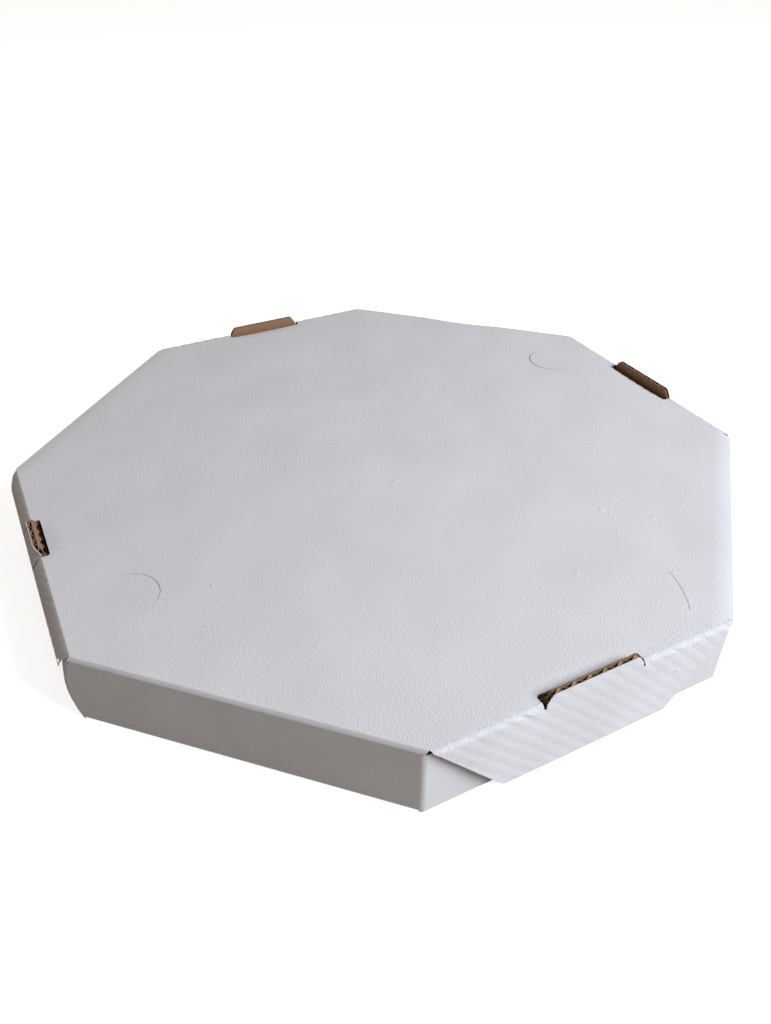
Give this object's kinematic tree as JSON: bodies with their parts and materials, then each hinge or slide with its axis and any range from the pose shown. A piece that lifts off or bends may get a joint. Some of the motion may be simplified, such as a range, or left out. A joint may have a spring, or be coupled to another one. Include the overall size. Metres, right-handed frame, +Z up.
{
  "type": "octagonal pizza box",
  "caption": "Flat octagonal corrugated board box for a pizza, with a hinged lid, folding diagonal flaps that grip the tray, standing tabs and half-moon vents.",
  "frame": {"origin": "middle of the underside of the tray, on the surface it stands on", "axes": "+Z up; -Y towards the hinge side of the lid, +Y towards the side that opens; +X right"},
  "size_m": [0.4, 0.4, 0.046],
  "materials": {
    "white_board": "matte"
  },
  "bodies": {
    "tray": {"tray": "white_board"},
    "lid": {"lid_panel": "white_board"},
    "flap_front_right": {"flap_front_right": "white_board"},
    "flap_back_right": {"flap_back_right": "white_board"},
    "flap_back_left": {"flap_back_left": "white_board"},
    "flap_front_left": {"flap_front_left": "white_board"}
  },
  "joints": [
    {"name": "lid_hinge", "type": "hinge", "parent": "tray", "child": "lid", "pos_m": [0, -0.2, 0.0414], "axis": [1, 0, 0], "range_deg": [0, 180]},
    {"name": "flap_front_right_fold", "type": "hinge", "parent": "lid", "child": "flap_front_right", "pos_m": [0.14361, -0.14361, 0.0414], "axis": [-0.7071, -0.7071, 0], "range_deg": [0, 135]},
    {"name": "flap_back_right_fold", "type": "hinge", "parent": "lid", "child": "flap_back_right", "pos_m": [0.14361, 0.14361, 0.0414], "axis": [0.7071, -0.7071, 0], "range_deg": [-3, 87]},
    {"name": "flap_back_left_fold", "type": "hinge", "parent": "lid", "child": "flap_back_left", "pos_m": [-0.14361, 0.14361, 0.0414], "axis": [0.7071, 0.7071, 0], "range_deg": [-3, 87]},
    {"name": "flap_front_left_fold", "type": "hinge", "parent": "lid", "child": "flap_front_left", "pos_m": [-0.14361, -0.14361, 0.0414], "axis": [-0.7071, 0.7071, 0], "range_deg": [0, 135]}
  ],
  "couplings": [
    {"joint": "flap_front_right_fold", "follows": "lid_hinge", "ratio": 0.75},
    {"joint": "flap_front_left_fold", "follows": "lid_hinge", "ratio": 0.75}
  ]
}
